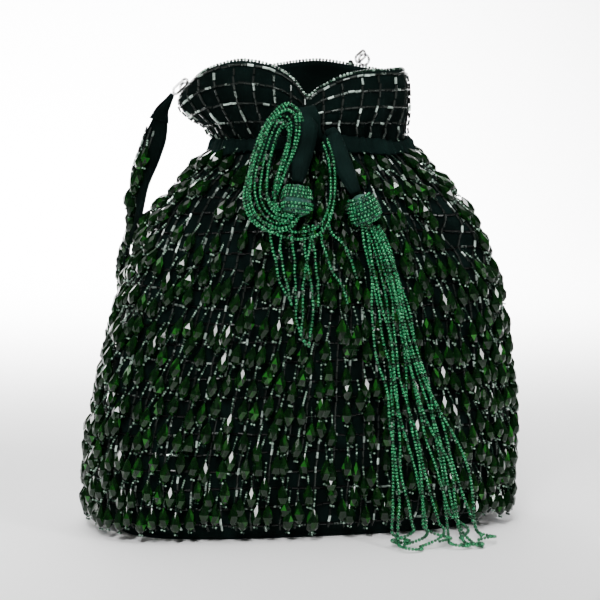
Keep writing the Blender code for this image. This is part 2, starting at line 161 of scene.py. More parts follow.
# Second tassel: centre of the bundle, its half width and its half thickness.
TASSEL_BUNDLE = [
    (18.2, -63, 150.4, 4.2, 3.0), (20.5, -65.2, 143, 5.6, 2.6), (26, -67.6, 123, 7.4, 2.0),
    (30.5, -68.4, 98, 9.2, 1.8), (35.5, -69.2, 70, 11.5, 1.8), (41, -71.0, 42, 15.5, 1.8),
    (44, -75.0, 19, 18, 1.8), (44.5, -81.0, 6.0, 20, 1.4), (44.0, -87.5, 2.4, 20, 0.8),
    (43.0, -95.0, 1.6, 18, 0.5),
]
BUNDLE_ACROSS = (-1.0, -0.79, -0.57, -0.35, -0.13, 0.1, 0.32, 0.54, 0.76, 0.98)
STRAY_STRANDS = [
    [(19.6, -64.0, 150), (24.5, -67.0, 140), (32.0, -70.5, 112), (40.6, -71.5, 84),
     (50.0, -71.0, 64), (58.4, -69.5, 50), (65.4, -67.5, 33), (69.5, -64.0, 15),
     (71.5, -64.0, 3.5), (72.5, -69.5, 1.2)],
    [(19.0, -64.5, 150), (23.8, -68.2, 138), (30.5, -72.0, 108), (37.6, -73.0, 76),
     (47.0, -73.5, 52), (56.0, -73.5, 36), (57.5, -74.5, 20), (60.0, -78.0, 6.0),
     (63.5, -84.0, 1.6), (66.0, -91.0, 1.2)],
]

# ------------------------------------------------------------------ strap, repeated from the CAD

RING_ANGLES = (180.0, 44.0)
RING_TAB = [(0.93, -4.4, 1.9, 0.5), (0.72, -5.0, 2.2, 0.6), (0.45, -5.2, 2.2, 0.6)]
STRAP_CLEAR = 10.2
STRAP_LEFT = [(-70, 5.4, 204), (-71.6, 6.6, 196), (-74.8, 8.4, 186), (-79.4, 10.4, 172)]
STRAP_ROUND_BODY = [
    (171, 154), (161, 138), (148, 120), (131, 104), (112, 93), (95, 89), (82, 95), (74, 110),
    (69, 130), (66, 150),
]
STRAP_RIGHT = [
    (40.5, 49.5, 172), (38, 45.5, 188), (36.5, 43, 203), (35.3, 41, 216), (34.8, 39.4, 223),
]
STRAP_BUGLES_ACROSS = (5.2, 3.0, 0.8)
STRAP_BUGLES_OUT = 2.2
STRAP_DROPS_ACROSS = (2.4, 4.4)  # the drops hang from two lines in turn
STRAP_DROPS_OUT = 2.6
STRAP_DROP_PITCH = 0.0042

# ------------------------------------------------------------------ fringe and grid

TIER_COUNT = 13
TIER_TOP_HEIGHT = 177.0
TIER_PITCH = 12.9
LOWEST_TOP = 24.5  # a drop that begins here ends just above the floor
COLLAR_HEIGHTS = [187.0, 193.0]  # short rows of drops under the drawstring and over it
COLLAR_GAP = (222.0, 338.0)  # the upper one leaves these angles free, at the front
FRINGE_COLUMNS = [(150.0, 88), (180.0, 72), (math.inf, 40)]  # drops round, below each height
GRID_COLUMNS = 76
GRID_ROWS = [8.0 + 8.6 * row for row in range(20)]
RUFFLE_COLUMNS = 33
RUFFLE_ROWS = (0.08, 0.36, 0.66)
BEADS_ON_DROP = 7
TREFOIL_REACH = 0.00078  # from a drop's foot to its last three beads
DROP_OUT = 0.9  # how far a string of beads starts outside the cloth
DROP_HANGS_OUT = 2.9  # and how much further out its drop hangs
BARE_PATCHES = [  # angle, height, reach in degrees and in millimetres, share of drops left
    (318.0, 143.0, 13.0, 16.0, 0.15),
    (243.0, 141.0, 10.0, 13.0, 0.35),
    (212.0, 152.0, 14.0, 12.0, 0.45),
]

# ------------------------------------------------------------------ camera

CAMERA_AZIMUTH = -12.0
CAMERA_DISTANCE = 0.9
CAMERA_HEIGHT = 0.175
CAMERA_LENS = 108.0
LOOK_SIDE = -0.0015
LOOK_HEIGHT = 0.1105


def metres(name, description, default):
    return bpy.props.FloatProperty(
        name=name, description=description, default=default, unit="LENGTH")


def tint(name, description, default):
    return bpy.props.FloatVectorProperty(
        name=name, description=description, default=default, subtype="COLOR", size=3)


class PotliSizes(bpy.types.PropertyGroup):
    """Sizes of the beads and of what they are sewn on."""

    seed_bead: metres("Tassel bead", "Width of a seed bead on the tassels", 0.00172)
    seed_pitch: metres("Tassel bead pitch", "Distance between seed beads on a strand", 0.0016)
    fringe_bead: metres("Fringe bead", "Width of a small bead above a crystal drop", 0.00122)
    bugle_length: metres("Bugle length", "Length of a bugle bead of the grid", 0.003)
    bugle_width: metres("Bugle width", "Width of a bugle bead of the grid", 0.00115)
    drop_length: metres("Drop length", "Length of a crystal drop", 0.0102)
    drop_width: metres("Drop width", "Width of a crystal drop", 0.0056)
    plating: metres("Plating", "Thickness added round the wire of rings and links", 0.0002)
    velvet: metres("Velvet thickness", "Thickness of the pouch's cloth", 0.0014)


class PotliColours(bpy.types.PropertyGroup):
    """Colours of the cloth, glass and metal."""

    velvet: tint("Velvet", "The velvet in its shade", (0.0013, 0.0036, 0.0031))
    velvet_sheen: tint("Velvet sheen", "Light on the velvet's pile", (0.30, 0.48, 0.44))
    satin: tint("Lining", "The satin lining", (0.01, 0.035, 0.022))
    # The crystal colours are painted light: the first goes on facets picked as painted glints,
    # the second is the painted shade on the rest.
    crystal: tint("Crystal", "A facet that catches the light", (0.009, 0.066, 0.008))
    crystal_shade: tint("Crystal in shade", "A facet in shade", (0.0018, 0.0125, 0.0028))
    # The tassel and bugle colours are painted flashes, given to the share of beads picked to
    # flash; the other beads get a darker share of them.
    tassel: tint("Tassel bead", "The tassels' silver-lined beads", (0.018, 0.175, 0.068))
    bugle: tint("Bugle", "The brightest bugle beads", (0.5, 0.62, 0.55))
    metal: tint("Metal", "The rings and links", (0.05, 0.05, 0.048))
    floor: tint("Floor", "The floor and backdrop", (0.86, 0.86, 0.86))


# ------------------------------------------------------------------ curves and surfaces


def smooth(rows, at, period=None):
    """Values read at each of `at` from a smooth curve through rows of (key, value, ...)."""
    rows, at = np.array(rows, float), np.asarray(at, float)
    if period:
        before, after = rows[-2:].copy(), rows[:2].copy()
        before[:, 0] -= period
        after[:, 0] += period
        rows, at = np.vstack([before, rows, after]), at % period
    keys, values = rows[:, 0], rows[:, 1:]
    slopes = np.gradient(values, keys, axis=0)
    at = np.clip(at, keys[0], keys[-1])
    i = np.clip(np.searchsorted(keys, at, side="right") - 1, 0, len(keys) - 2)
    span = (keys[i + 1] - keys[i])[..., None]
    t = (at - keys[i])[..., None] / span
    return (
        (2 * t**3 - 3 * t**2 + 1) * values[i]
        + (t**3 - 2 * t**2 + t) * span * slopes[i]
        + (3 * t**2 - 2 * t**3) * values[i + 1]
        + (t**3 - t**2) * span * slopes[i + 1]
    )


def lengths_along(points):
    """Distance gone at each point of a line."""
    steps = np.linalg.norm(np.diff(points[:, :3], axis=0), axis=1)
    return np.concatenate([[0], np.cumsum(steps)])


def walk(line, distances):
    """The line's rows at the given distances along it."""
    gone = lengths_along(line)
    return np.column_stack([np.interp(distances, gone, column) for column in line.T])


def along(rows, count):
    """`count` rows evenly spaced along a smooth curve through the given rows."""
    rows = np.array(rows, float)
    gone = lengths_along(rows)
    fine = smooth(np.column_stack([gone, rows]), np.linspace(0, gone[-1], 600))
    return walk(fine, np.linspace(0, lengths_along(fine)[-1], count))


def oval(angle, half_width, half_depth, shift, height):
    """Points of the pouch's oval, `angle` degrees round from +X, in metres."""
    power = 2 / smooth(ROUNDNESS, height)[..., 0]
    c, s = np.cos(np.radians(angle)), np.sin(np.radians(angle))
    x = shift + half_width * np.sign(c) * np.abs(c) ** power
    y = half_depth * np.sign(s) * np.abs(s) ** power
    return np.stack(np.broadcast_arrays(x, y, height), axis=-1) * MM


def shoulder_fold(angle, height):
    """The hollow and the ridge of the fold on the right shoulder."""
    across = (angle - FOLD_PLACE[0]) * 0.75 + (height - FOLD_PLACE[1]) * 0.8
    down = (angle - FOLD_PLACE[0]) * 1.0 - (height - FOLD_PLACE[1]) * 0.6
    reach = np.exp(-((down / 26) ** 2))
    return reach * (2.2 * np.exp(-(((across - 9) / 6) ** 2))
                    - FOLD_DEPTH * np.exp(-((across / 5) ** 2)))


def folds(angle, height):
    """How far the cloth stands out from its plain oval."""
    turn = np.radians(angle)
    deep = GATHER_DEPTH * np.clip((height - GATHERS_FROM) / 80, 0, 1) ** 2
    ripple = np.sin(23 * turn + 1.7 * np.sin(2 * turn)) + 0.6 * np.sin(37 * turn + 1.1)
    loose = np.clip(height / 40, 0, 1) * np.clip((186 - height) / 40, 0, 1)
    sag = np.sin(5 * turn + height / 31) + 0.6 * np.sin(9 * turn - height / 23)
    return deep * ripple + SAG * sag * loose + shoulder_fold(angle % 360, height)


def body(angle, height, out=0.0):
    """Points `out` mm outside the pouch's velvet."""
    angle, height = np.broadcast_arrays(np.asarray(angle, float), np.asarray(height, float))
    width, depth, shift = np.moveaxis(smooth(BODY_SECTIONS, height), -1, 0)
    foot = RUFFLE_FOOT * np.clip((height - FOOT_FROM) / 6, 0, 1) ** 2
    spread = out + folds(angle, height) + foot
    return oval(angle, width + spread, depth + spread, shift, height)


def plain_body(angle, height, out):
    """A point outside the pouch's plain oval, as the CAD part has it."""
    width, depth, shift = smooth(BODY_SECTIONS, float(height))
    return oval(angle, width + out, depth + out, shift, float(height))


def ruffle(angle, share, out=0.0, plain=False):
    """Points on the ruffle, from the neck at share 0 to the rim at 1."""
    angle, share = np.broadcast_arrays(np.asarray(angle, float), np.asarray(share, float))
    flare, rim = np.moveaxis(smooth(RUFFLE_RIM, angle, period=360), -1, 0)
    width, depth, shift = smooth(BODY_SECTIONS, NECK_HEIGHT)
    spread = flare * np.sin(share * math.pi / 2) + out
    if not plain:
        turn = np.radians(angle)
        waves = 0.7 * np.sin(9 * turn + 0.8) + 0.5 * np.sin(14 * turn)
        spread = spread + RUFFLE_BULGE * np.sin(share * math.pi) + waves * share
        spread = spread + RUFFLE_FOOT * (1 - share) ** 2
        spread = spread + folds(angle, NECK_HEIGHT) * (1 - share) ** 2
    height = NECK_HEIGHT + (rim - NECK_HEIGHT) * share
    return oval(angle, width + spread, depth + spread, shift, height)


def even_angles(line, count, offset=0.0):
    """Angles that divide a closed line, given by its points at 0 to 360 degrees, evenly."""
    gone = lengths_along(line)
    wanted = (np.arange(count) + offset) % count / count * gone[-1]
    return np.interp(wanted, gone, np.linspace(0, 360, len(line)))


ALL_ROUND = np.linspace(0, 360, 1441)


def body_columns(count, offset=0.0):
    return even_angles(body(ALL_ROUND, 60.0), count, offset)


def unit(vectors):
    return vectors / np.maximum(np.linalg.norm(vectors, axis=-1, keepdims=True), 1e-12)


def ahead_of(line):
    """Unit direction of a line at each of its points."""
    return unit(np.gradient(line, axis=0))


# ------------------------------------------------------------------ small shapes


def grid_faces(rows, around, closed_along=False):
    """Quads between neighbouring closed rings of points."""
    faces = []
    for i in range(rows if closed_along else rows - 1):
        here, there = i * around, (i + 1) % rows * around
        faces += [(here + j, here + (j + 1) % around, there + (j + 1) % around, there + j)
                  for j in range(around)]
    return faces


def capped_faces(rows, around):
    """The same quads with a face over the first ring and over the last."""
    last = (rows - 1) * around
    return grid_faces(rows, around) + [
        tuple(reversed(range(around))), tuple(range(last, last + around))]


def turned(profile, sides):
    """A small lathe shape: its profile's rows are (radius, height)."""
    turn = np.arange(sides) * 2 * math.pi / sides
    points = [(r * math.cos(a), r * math.sin(a), h) for r, h in profile for a in turn]
    return np.array(points), capped_faces(len(profile), sides)


def cut_drop(profile, sides):
    """A faceted drop of five rings whose upper half has kites between triangles.

    Its facets share no corners, so each one shades by itself and takes its own painted glint or
    painted shade.
    """
    rings = []
    for level, (r, h) in enumerate(profile):
        turn = (np.arange(sides) + level % 2 / 2) * 2 * math.pi / sides
        rings.append([(r * math.cos(a), r * math.sin(a), h) for a in turn])
    foot, flank, girdle, shoulder, top = rings
    facets = [list(reversed(foot)), top]
    for j in range(sides):
        k = (j + 1) % sides
        facets.append([girdle[j], shoulder[j], top[j], shoulder[j - 1]])
        facets.append([foot[j], flank[j], flank[j - 1]])
        facets.append([flank[j - 1], flank[j], girdle[j]])
        for low, middle, high in ((foot, flank, girdle), (girdle, shoulder, top)):
            facets.append([low[j], low[k], middle[j]])
            facets.append([middle[j], high[k], high[j]])
    points, faces = [], []
    for facet in facets:
        faces.append(tuple(range(len(points), len(points) + len(facet))))
        points += facet
    return np.array(points), faces


ROUND_BEAD = turned([(0.46, -0.5), (0.93, -0.27), (0.93, 0.27), (0.46, 0.5)], 7)
SMALL_BEAD = turned([(0.25, -0.5), (1.0, 0.0), (0.25, 0.5)], 6)
BUGLE = turned([(1.0, -0.5), (1.0, 0.5)], 6)
DROP = cut_drop([(0.25, -1.0), (0.82, -0.85), (1.0, -0.56), (0.693, -0.28), (0.2, 0.0)], 6)


def bead_frames(places, ahead, radius, length, spin=0.0):
    """Axes and origin of a bead at each place, its own Z lying along `ahead`."""
    helper = np.where(np.abs(ahead[:, 2:3]) > 0.9, [[1.0, 0, 0]], [[0, 0, 1.0]])
    x = unit(np.cross(helper, ahead))
    y = np.cross(ahead, x)
    spin = np.broadcast_to(np.asarray(spin, float), len(places))[:, None]
    turned_x = x * np.cos(spin) + y * np.sin(spin)
    turned_y = y * np.cos(spin) - x * np.sin(spin)
    radius = np.broadcast_to(np.asarray(radius, float), len(places))[:, None]
    length = np.broadcast_to(np.asarray(length, float), len(places))[:, None]
    return np.stack([turned_x * radius, turned_y * radius, ahead * length, places], axis=1)


def strung(line, pitch, radius, length, seed, uneven=0.05):
    """Frames of beads strung along a line of points."""
    chance = np.random.default_rng(seed)
    gone = lengths_along(line)[-1]
    count = max(2, int(gone / pitch))
    at = (np.arange(count) + chance.uniform(0.32, 0.68)) * gone / count
    places = walk(line, at)
    ahead = unit(walk(line, np.minimum(at + pitch / 2, gone)) - walk(line, at - pitch / 2))
    sizes = radius * (1 + uneven * chance.uniform(-1, 1, count))
    return bead_frames(places, ahead, sizes, length, chance.uniform(0, math.pi, count))


# ------------------------------------------------------------------ making pieces


def finish_piece(made, finish, rides, replaces=()):
    """Gives a new piece its material and the body it rides on, and hides the parts it stands for.
    """
    made.data.materials.append(finish)
    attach(made, rides)
    if replaces:
        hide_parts(*replaces)
    return made


def mesh_piece(name, points, faces):
    """A smooth mesh object from points and faces of any number of corners."""
    corners = np.concatenate([np.asarray(f, np.int32) for f in faces])
    return mesh_object(name, points, corners, [len(f) for f in faces], flat=False)


def mesh_object(name, points, corners, sizes, flat):
    """A mesh object from its points, its faces' corners in one row, and how many each has."""
    points, sizes = np.asarray(points, np.float32), np.asarray(sizes, np.int32)
    data = bpy.data.meshes.new(name)
    data.vertices.add(len(points))
    data.vertices.foreach_set("co", points.ravel())
    data.loops.add(len(corners))
    data.loops.foreach_set("vertex_index", corners.astype(np.int32))
    data.polygons.add(len(sizes))
    starts = np.concatenate([[0], np.cumsum(sizes)[:-1]]).astype(np.int32)
    data.polygons.foreach_set("loop_start", starts)
    data.update(calc_edges=True)
    data.validate()
    data.polygons.foreach_set("use_smooth", np.full(len(data.polygons), not flat))
    made = bpy.data.objects.new(name, data)
    bpy.context.scene.collection.objects.link(made)
    return made


def copies(name, shape, frames, flat=False):
    """One mesh of copies of a small shape, one for each frame."""
    shape_points, faces = shape
    frames = np.concatenate(frames) if isinstance(frames, list) else frames
    placed = np.einsum("vk,nkj->nvj", shape_points, frames[:, :3]) + frames[:, 3][:, None]
    corners = np.concatenate([np.asarray(f, np.int32) for f in faces])
    shifts = (np.arange(len(frames)) * len(shape_points))[:, None]
    sizes = np.tile([len(f) for f in faces], len(frames))
    return mesh_object(name, placed.reshape(-1, 3), (corners + shifts).ravel(), sizes, flat)


def tube_points(rows, facing, sides=12, ripple=None):
    """Rings of a soft tube along rows of (x, y, z, half width, half thickness) in mm."""
    rows = np.asarray(rows, float)
    centres = rows[:, :3] * MM
    ahead = ahead_of(centres)
    normal = facing(centres)
    normal = unit(normal - (normal * ahead).sum(1, keepdims=True) * ahead)
    side = np.cross(ahead, normal)
    turn = np.arange(sides) * 2 * math.pi / sides
    swell = np.ones((len(rows), sides))
    if ripple:
        swell = ripple(np.linspace(0, 1, len(rows))[:, None], turn[None])
    wide = (rows[:, 3:4] * MM * np.cos(turn) * swell)[..., None] * side[:, None]
    thick = (rows[:, 4:5] * MM * np.sin(turn) * swell)[..., None] * normal[:, None]
    return centres[:, None] + wide + thick


def tube(name, rows, facing, sides=12, ripple=None):
    """A soft tube with closed ends."""
    rings = tube_points(rows, facing, sides, ripple)
    return mesh_piece(name, rings.reshape(-1, 3), capped_faces(len(rings), sides))


def outwards(points):
    """Away from the pouch's middle, level."""
    return unit(points * [1.0, 1.0, 0.0])


def towards_front(points):
    return np.tile([0.0, -1.0, 0.15], (len(points), 1))


# ------------------------------------------------------------------ materials


class Wire:
    """A node's output that can be used in sums: each operator adds a Math node."""

    def __init__(self, finish, socket):
        self.finish, self.socket = finish, socket

    def _sum(self, operation, first, second):
        return self.finish.node("ShaderNodeMath", {"operation": operation}, {0: first, 1: second})

    def __add__(self, other):
        return self._sum("ADD", self, other)

    def __radd__(self, other):
        return self._sum("ADD", other, self)

    def __sub__(self, other):
        return self._sum("SUBTRACT", self, other)

    def __rsub__(self, other):
        return self._sum("SUBTRACT", other, self)

    def __mul__(self, other):
        return self._sum("MULTIPLY", self, other)

    def __rmul__(self, other):
        return self._sum("MULTIPLY", other, self)

    def __pow__(self, other):
        return self._sum("POWER", self, other)


class Finish:
    """A new material or world, with one method that adds any node to it."""

    def __init__(self, name, world=False):
        self.made = (bpy.data.worlds if world else bpy.data.materials).new(name)
        self.made.use_nodes = True
        self.tree = self.made.node_tree
        self.shader = self.tree.nodes["Background" if world else "Principled BSDF"]

    def feed(self, socket, value):
        if isinstance(value, Wire):
            self.tree.links.new(value.socket, socket)
        else:
            socket.default_value = value

    def node(self, kind, settings=None, sockets=None, output=0):
        """Adds a node, sets its settings and then its sockets, and returns one output."""
        made = self.tree.nodes.new(kind)
        for key, value in (settings or {}).items():
            if key == "stops":
                self.set_stops(made.color_ramp, value)
            else:
                setattr(made, key, value)
        for key, value in (sockets or {}).items():
            self.feed(made.inputs[key], value)
        return Wire(self, made.outputs[output])

    def set_stops(self, ramp, stops):
        while len(ramp.elements) < len(stops):
            ramp.elements.new(0.5)
        for element, (place, colour) in zip(ramp.elements, stops):
            element.position = place
            element.color = (*colour, 1)

    def mix(self, factor, first, second):
        """Mixes two colours."""
        return self.node("ShaderNodeMix", {"data_type": "RGBA"}, {
            0: factor, 6: rgba(first), 7: rgba(second)}, output=2)

    def place(self):
        return self.node("ShaderNodeTexCoord", output="Object")

    def noise(self, scale, detail=2.0, at=None):
        return self.node("ShaderNodeTexNoise", None, {
            "Vector": at or self.place(), "Scale": scale, "Detail": detail})

    def each(self):
        """A number that differs from bead to bead, or from facet to facet."""
        return self.node("ShaderNodeNewGeometry", output="Random Per Island")

    def ramp(self, value, stops):
        return self.node("ShaderNodeValToRGB", {"stops": stops}, {0: value})

    def bump(self, height, strength, distance):
        return self.node("ShaderNodeBump", None, {
            "Height": height, "Strength": strength, "Distance": distance})

    def shade(self, **sockets):
        """Sets the shader's sockets, named with underscores for spaces."""
        for key, value in sockets.items():
            self.feed(self.shader.inputs[key.replace("_", " ")], value)
        return self.made


def rgba(colour):
    return colour if isinstance(colour, Wire) else (*colour, 1)


def scaled(colour, by):
    return tuple(min(1.0, channel * by) for channel in colour)


def colours():
    return bpy.context.scene.potli_colours


def sizes():
    return bpy.context.scene.potli_sizes


def once(name):
    """The material if it is made already, so that pieces share it."""
    return bpy.data.materials.get(name)


def velvet_finish(name="dark_green_velvet", lighter=1.0):
    """Short-pile velvet: nearly black, with a grey-green sheen where its pile turns."""
    if once(name):
        return once(name)
    finish = Finish(name)
    shade = scaled(colours().velvet, lighter)
    brushed = finish.noise(55.0, 4.0)
    pile = finish.noise(2300.0, 2.0)
    colour = finish.mix(brushed ** 2.0 * 1.6, scaled(shade, 0.6), scaled(shade, 3.2))
    return finish.shade(
        Base_Color=finish.mix(pile * 0.5, colour, scaled(shade, 0.4)),
        Roughness=0.72 + brushed * 0.25,
        Normal=finish.bump(pile * 0.6 + brushed, 0.35, 0.0005),
        Sheen_Weight=0.02,
        Sheen_Roughness=0.3,
        Sheen_Tint=rgba(colours().velvet_sheen),
        Specular_IOR_Level=0.02,
    )


def satin_finish():
    """Lining satin with fine lengthwise threads and soft creases, coloured with painted shade in
    the creases' hollows and painted sheen on their ridges.
    """
    finish = Finish("green_lining_satin")
    shade = tuple(colours().satin)
    threads = finish.node("ShaderNodeTexWave", None, {
        "Vector": finish.place(), "Scale": 900.0, "Distortion": 1.5})
    creases = finish.noise(70.0, 3.0)
    return finish.shade(
        # Painted light: the colour follows the creases, darker in their hollows and lighter on
        # their ridges.
        Base_Color=finish.mix(creases, scaled(shade, 0.6), scaled(shade, 2.2)),
        Roughness=0.32 + creases * 0.2,
        Normal=finish.bump(threads * 0.2 + creases, 0.3, 0.0012),
        Sheen_Weight=0.2,
    )


def crystal_finish():
    """Bottle-green cut glass with painted light: each facet is picked at random to take a nearly
    black painted shade or a green painted glint.
    """
    if once("green_crystal"):
        return once("green_crystal")
    finish = Finish("green_crystal")
    bright, dark = tuple(colours().crystal), tuple(colours().crystal_shade)
    painted_glint_pick = finish.each()
    # Painted light per facet: most facets get the shade colour, and a few get the lit green
    # colour as painted glints of light through the glass.
    colour = finish.ramp(painted_glint_pick, [
        (0.0, scaled(dark, 0.6)), (0.66, scaled(dark, 1.2)), (0.9, scaled(bright, 0.35)),
        (0.97, bright), (1.0, scaled(bright, 2.2))])
    return finish.shade(
        Base_Color=colour,
        Roughness=0.03 + painted_glint_pick * 0.05,
        IOR=1.45,
        Transmission_Weight=0.28,
        Specular_IOR_Level=0.2,
    )


def bead_finish(name, bright, dark, metallic, flash=0.35, shine=0.06):
    """Silver-lined glass beads with painted flashes: a share of them get a bright painted flash
    colour and the rest stay dark.
    """
    if once(name):
        return once(name)
    finish = Finish(name)
    painted_glint_pick = finish.each()
    fine_noise = finish.noise(900.0, 1.0)
    # Painted flash: the pick per bead, nudged by fine noise, gives a share of the beads the
    # bright colour of their silver lining catching the light, and the rest the dark colour.
    colour = finish.ramp(painted_glint_pick * 0.8 + fine_noise * 0.25, [
        (0.0, scaled(dark, 0.6)), (1 - flash, dark), (1 - flash * 0.5, bright),
        (1.0, scaled(bright, 1.4))])
    return finish.shade(
        Base_Color=colour,
        Roughness=0.12 + fine_noise * 0.16,
        Metallic=metallic,
        Specular_IOR_Level=0.12,
        Coat_Weight=shine,
        Coat_Roughness=0.05,
    )


def tassel_finish():
    bright = tuple(colours().tassel)
    return bead_finish("tassel_seed_beads", bright, scaled(bright, 0.2), 0.7, 0.85, 0.4)


def fringe_bead_finish():
    # The first colour is the painted flash of the silver-lined beads, the second their dark
    # colour.
    return bead_finish("fringe_seed_beads", (0.24, 0.36, 0.28), (0.01, 0.03, 0.018), 0.5, 0.5)


def bugle_finish():
    bright = tuple(colours().bugle)
    return bead_finish("silver_lined_bugles", bright, scaled(bright, 0.05), 0.55, 0.26)


def shaded_bugle_finish():
    """The crosswise bugles with painted shade: the same bugle colour darkened, with fewer painted
    flashes, as they lie deeper in the pile.
    """
    bright = scaled(colours().bugle, 0.45)
    return bead_finish("shaded_bugles", bright, scaled(bright, 0.03), 0.5, 0.16)


def thread_finish():
    """Shiny thread wound round the core of a tassel's cap, with painted shade between the turns
    and painted sheen on them.
    """
    finish = Finish("teal_thread")
    wound = finish.node("ShaderNodeTexWave", {"bands_direction": "Z"}, {
        "Vector": finish.place(), "Scale": 1100.0, "Distortion": 2.0, "Detail": 2.0})
    return finish.shade(
        # Painted light: the colour follows the wound turns, dark in the grooves between them and
        # lighter on each turn.
        Base_Color=finish.mix(wound, (0.002, 0.02, 0.014), (0.012, 0.13, 0.09)),
        Roughness=0.3 + wound * 0.15,
        Normal=finish.bump(wound, 0.6, 0.0003),
        Sheen_Weight=0.15,
    )


def nickel_finish():
    """Polished dark nickel, lightly worn."""
    finish = Finish("dark_nickel")
    metal = tuple(colours().metal)
    fine_noise = finish.noise(700.0, 3.0)
    return finish.shade(
        Base_Color=finish.mix(fine_noise, scaled(metal, 0.75), scaled(metal, 1.3)),
        Metallic=0.9,
        Roughness=0.3 + fine_noise * 0.2,
        Normal=finish.bump(finish.noise(2500.0), 0.08, 0.0002),
    )


def card_finish():
    """Grey-brown stiffening card with visible fibres."""
    finish = Finish("stiff_card")
    fibres = finish.noise(400.0, 6.0)
    return finish.shade(
        Base_Color=finish.mix(fibres, (0.22, 0.18, 0.13), (0.42, 0.36, 0.27)),
        Roughness=0.75 + fibres * 0.2,
        Normal=finish.bump(fibres, 0.3, 0.0006),
    )


def floor_finish():
    """Plain pale floor with painted shade: a little greyer in front of the bag and lighter behind
    it.
    """
    finish = Finish("pale_floor")
    shade = tuple(colours().floor)
    depth = finish.node("ShaderNodeSeparateXYZ", None, {0: finish.place()}, output="Y")
    # Painted shade: the floor's colour greys towards the front, standing in for the light falling
    # off there.
    back = finish.node("ShaderNodeMapRange", {"interpolation_type": "SMOOTHSTEP"}, {
        "Value": depth, "From Min": -0.36, "From Max": -0.02})
    grain = finish.noise(60.0, 2.0)
    near = finish.mix(grain, scaled(shade, 0.76), scaled(shade, 0.8))
    return finish.shade(
        Base_Color=finish.mix(back, near, scaled(shade, 1.12)),
        Roughness=0.6 + grain * 0.1,
        Specular_IOR_Level=0.1,
    )


# ------------------------------------------------------------------ operators


class POTLI_OT_camera(bpy.types.Operator):
    """Place the camera level with the neck, a little to the left of the front"""

    bl_idname = "potli.camera"
    bl_label = "Camera"

    def execute(self, context):
        turn = math.radians(CAMERA_AZIMUTH)
        back = Vector((math.sin(turn), -math.cos(turn), 0))
        right = Vector((math.cos(turn), math.sin(turn), 0))
        data = bpy.data.cameras.new("camera")
        data.lens = CAMERA_LENS
        data.sensor_width = 36.0
        camera = bpy.data.objects.new("camera", data)
        context.scene.collection.objects.link(camera)
        camera.location = back * CAMERA_DISTANCE + Vector((0, 0, CAMERA_HEIGHT))
        aim = right * LOOK_SIDE + Vector((0, 0, LOOK_HEIGHT))
        camera.rotation_euler = (aim - camera.location).to_track_quat("-Z", "Y").to_euler()
        context.scene.camera = camera
        return {"FINISHED"}


def beads_on_cap(number):
    """Rings of seed beads sewn round a cap's core, in the cap's own axes."""
    step = sizes().seed_pitch * 1.04
    frames = []
    for level, height in enumerate(np.arange(-13.2, -0.4, step / MM)):
        if number == 1 and CAP_BARE[0] < height < CAP_BARE[1]:
            continue
        core = np.interp(-height, [-h for _, h in CAP_CORE], [r for r, _ in CAP_CORE])
        radius = (core + 0.5) * MM
        count = max(6, int(2 * math.pi * radius / step))
        turn = (np.arange(count) + 0.5 * (level % 2)) * 2 * math.pi / count
        lift = height * MM + 0.0005 * np.sin(2 * turn + number)
        places = np.column_stack([radius * np.cos(turn), radius * np.sin(turn), lift])
        ahead = np.column_stack([-np.sin(turn), np.cos(turn), np.zeros(count)])
        frames.append(bead_frames(places, ahead, sizes().seed_bead / 2, step * 0.84))
    return np.concatenate(frames)


def cap_axes(number):
    """The cap's own axes and place, as a 4 x 3 table of rows."""
    place, forward, sideways = CAP_PLACES[number - 1]
    f, s = math.radians(-forward), math.radians(-sideways)
    lean = np.array([[1, 0, 0], [0, math.cos(f), -math.sin(f)], [0, math.sin(f), math.cos(f)]])
    tilt = np.array([[math.cos(s), 0, math.sin(s)], [0, 1, 0], [-math.sin(s), 0, math.cos(s)]])
    return tilt @ lean, np.array(place) * MM


def make_cap(number):
    """The thread-wound core of a cap and the beads sewn on it."""
    turn, place = cap_axes(number)
    core_points, core_faces = turned([(r * MM, h * MM) for r, h in CAP_CORE[::-1]], 28)
    core = mesh_piece(f"cap_core_{number}", core_points @ turn.T + place, core_faces)
    finish = once("teal_thread") or thread_finish()
    finish_piece(core, finish, "bag", [f"tassel_cap_{number}"])
    frames = beads_on_cap(number) @ turn.T
    frames[:, 3] += place
    beads = copies(f"cap_beads_{number}", ROUND_BEAD, frames)
    finish_piece(beads, tassel_finish(), "bag", [f"tassel_cap_{number}"])
    return [core, beads]


def gathered(count, depth):
    """A ripple of lengthwise gathers for a soft tube."""
    def ripple(share, turn):
        return 1 + depth * np.cos(count * turn + 5 * np.sin(2.2 * share)) + 0 * share
    return ripple


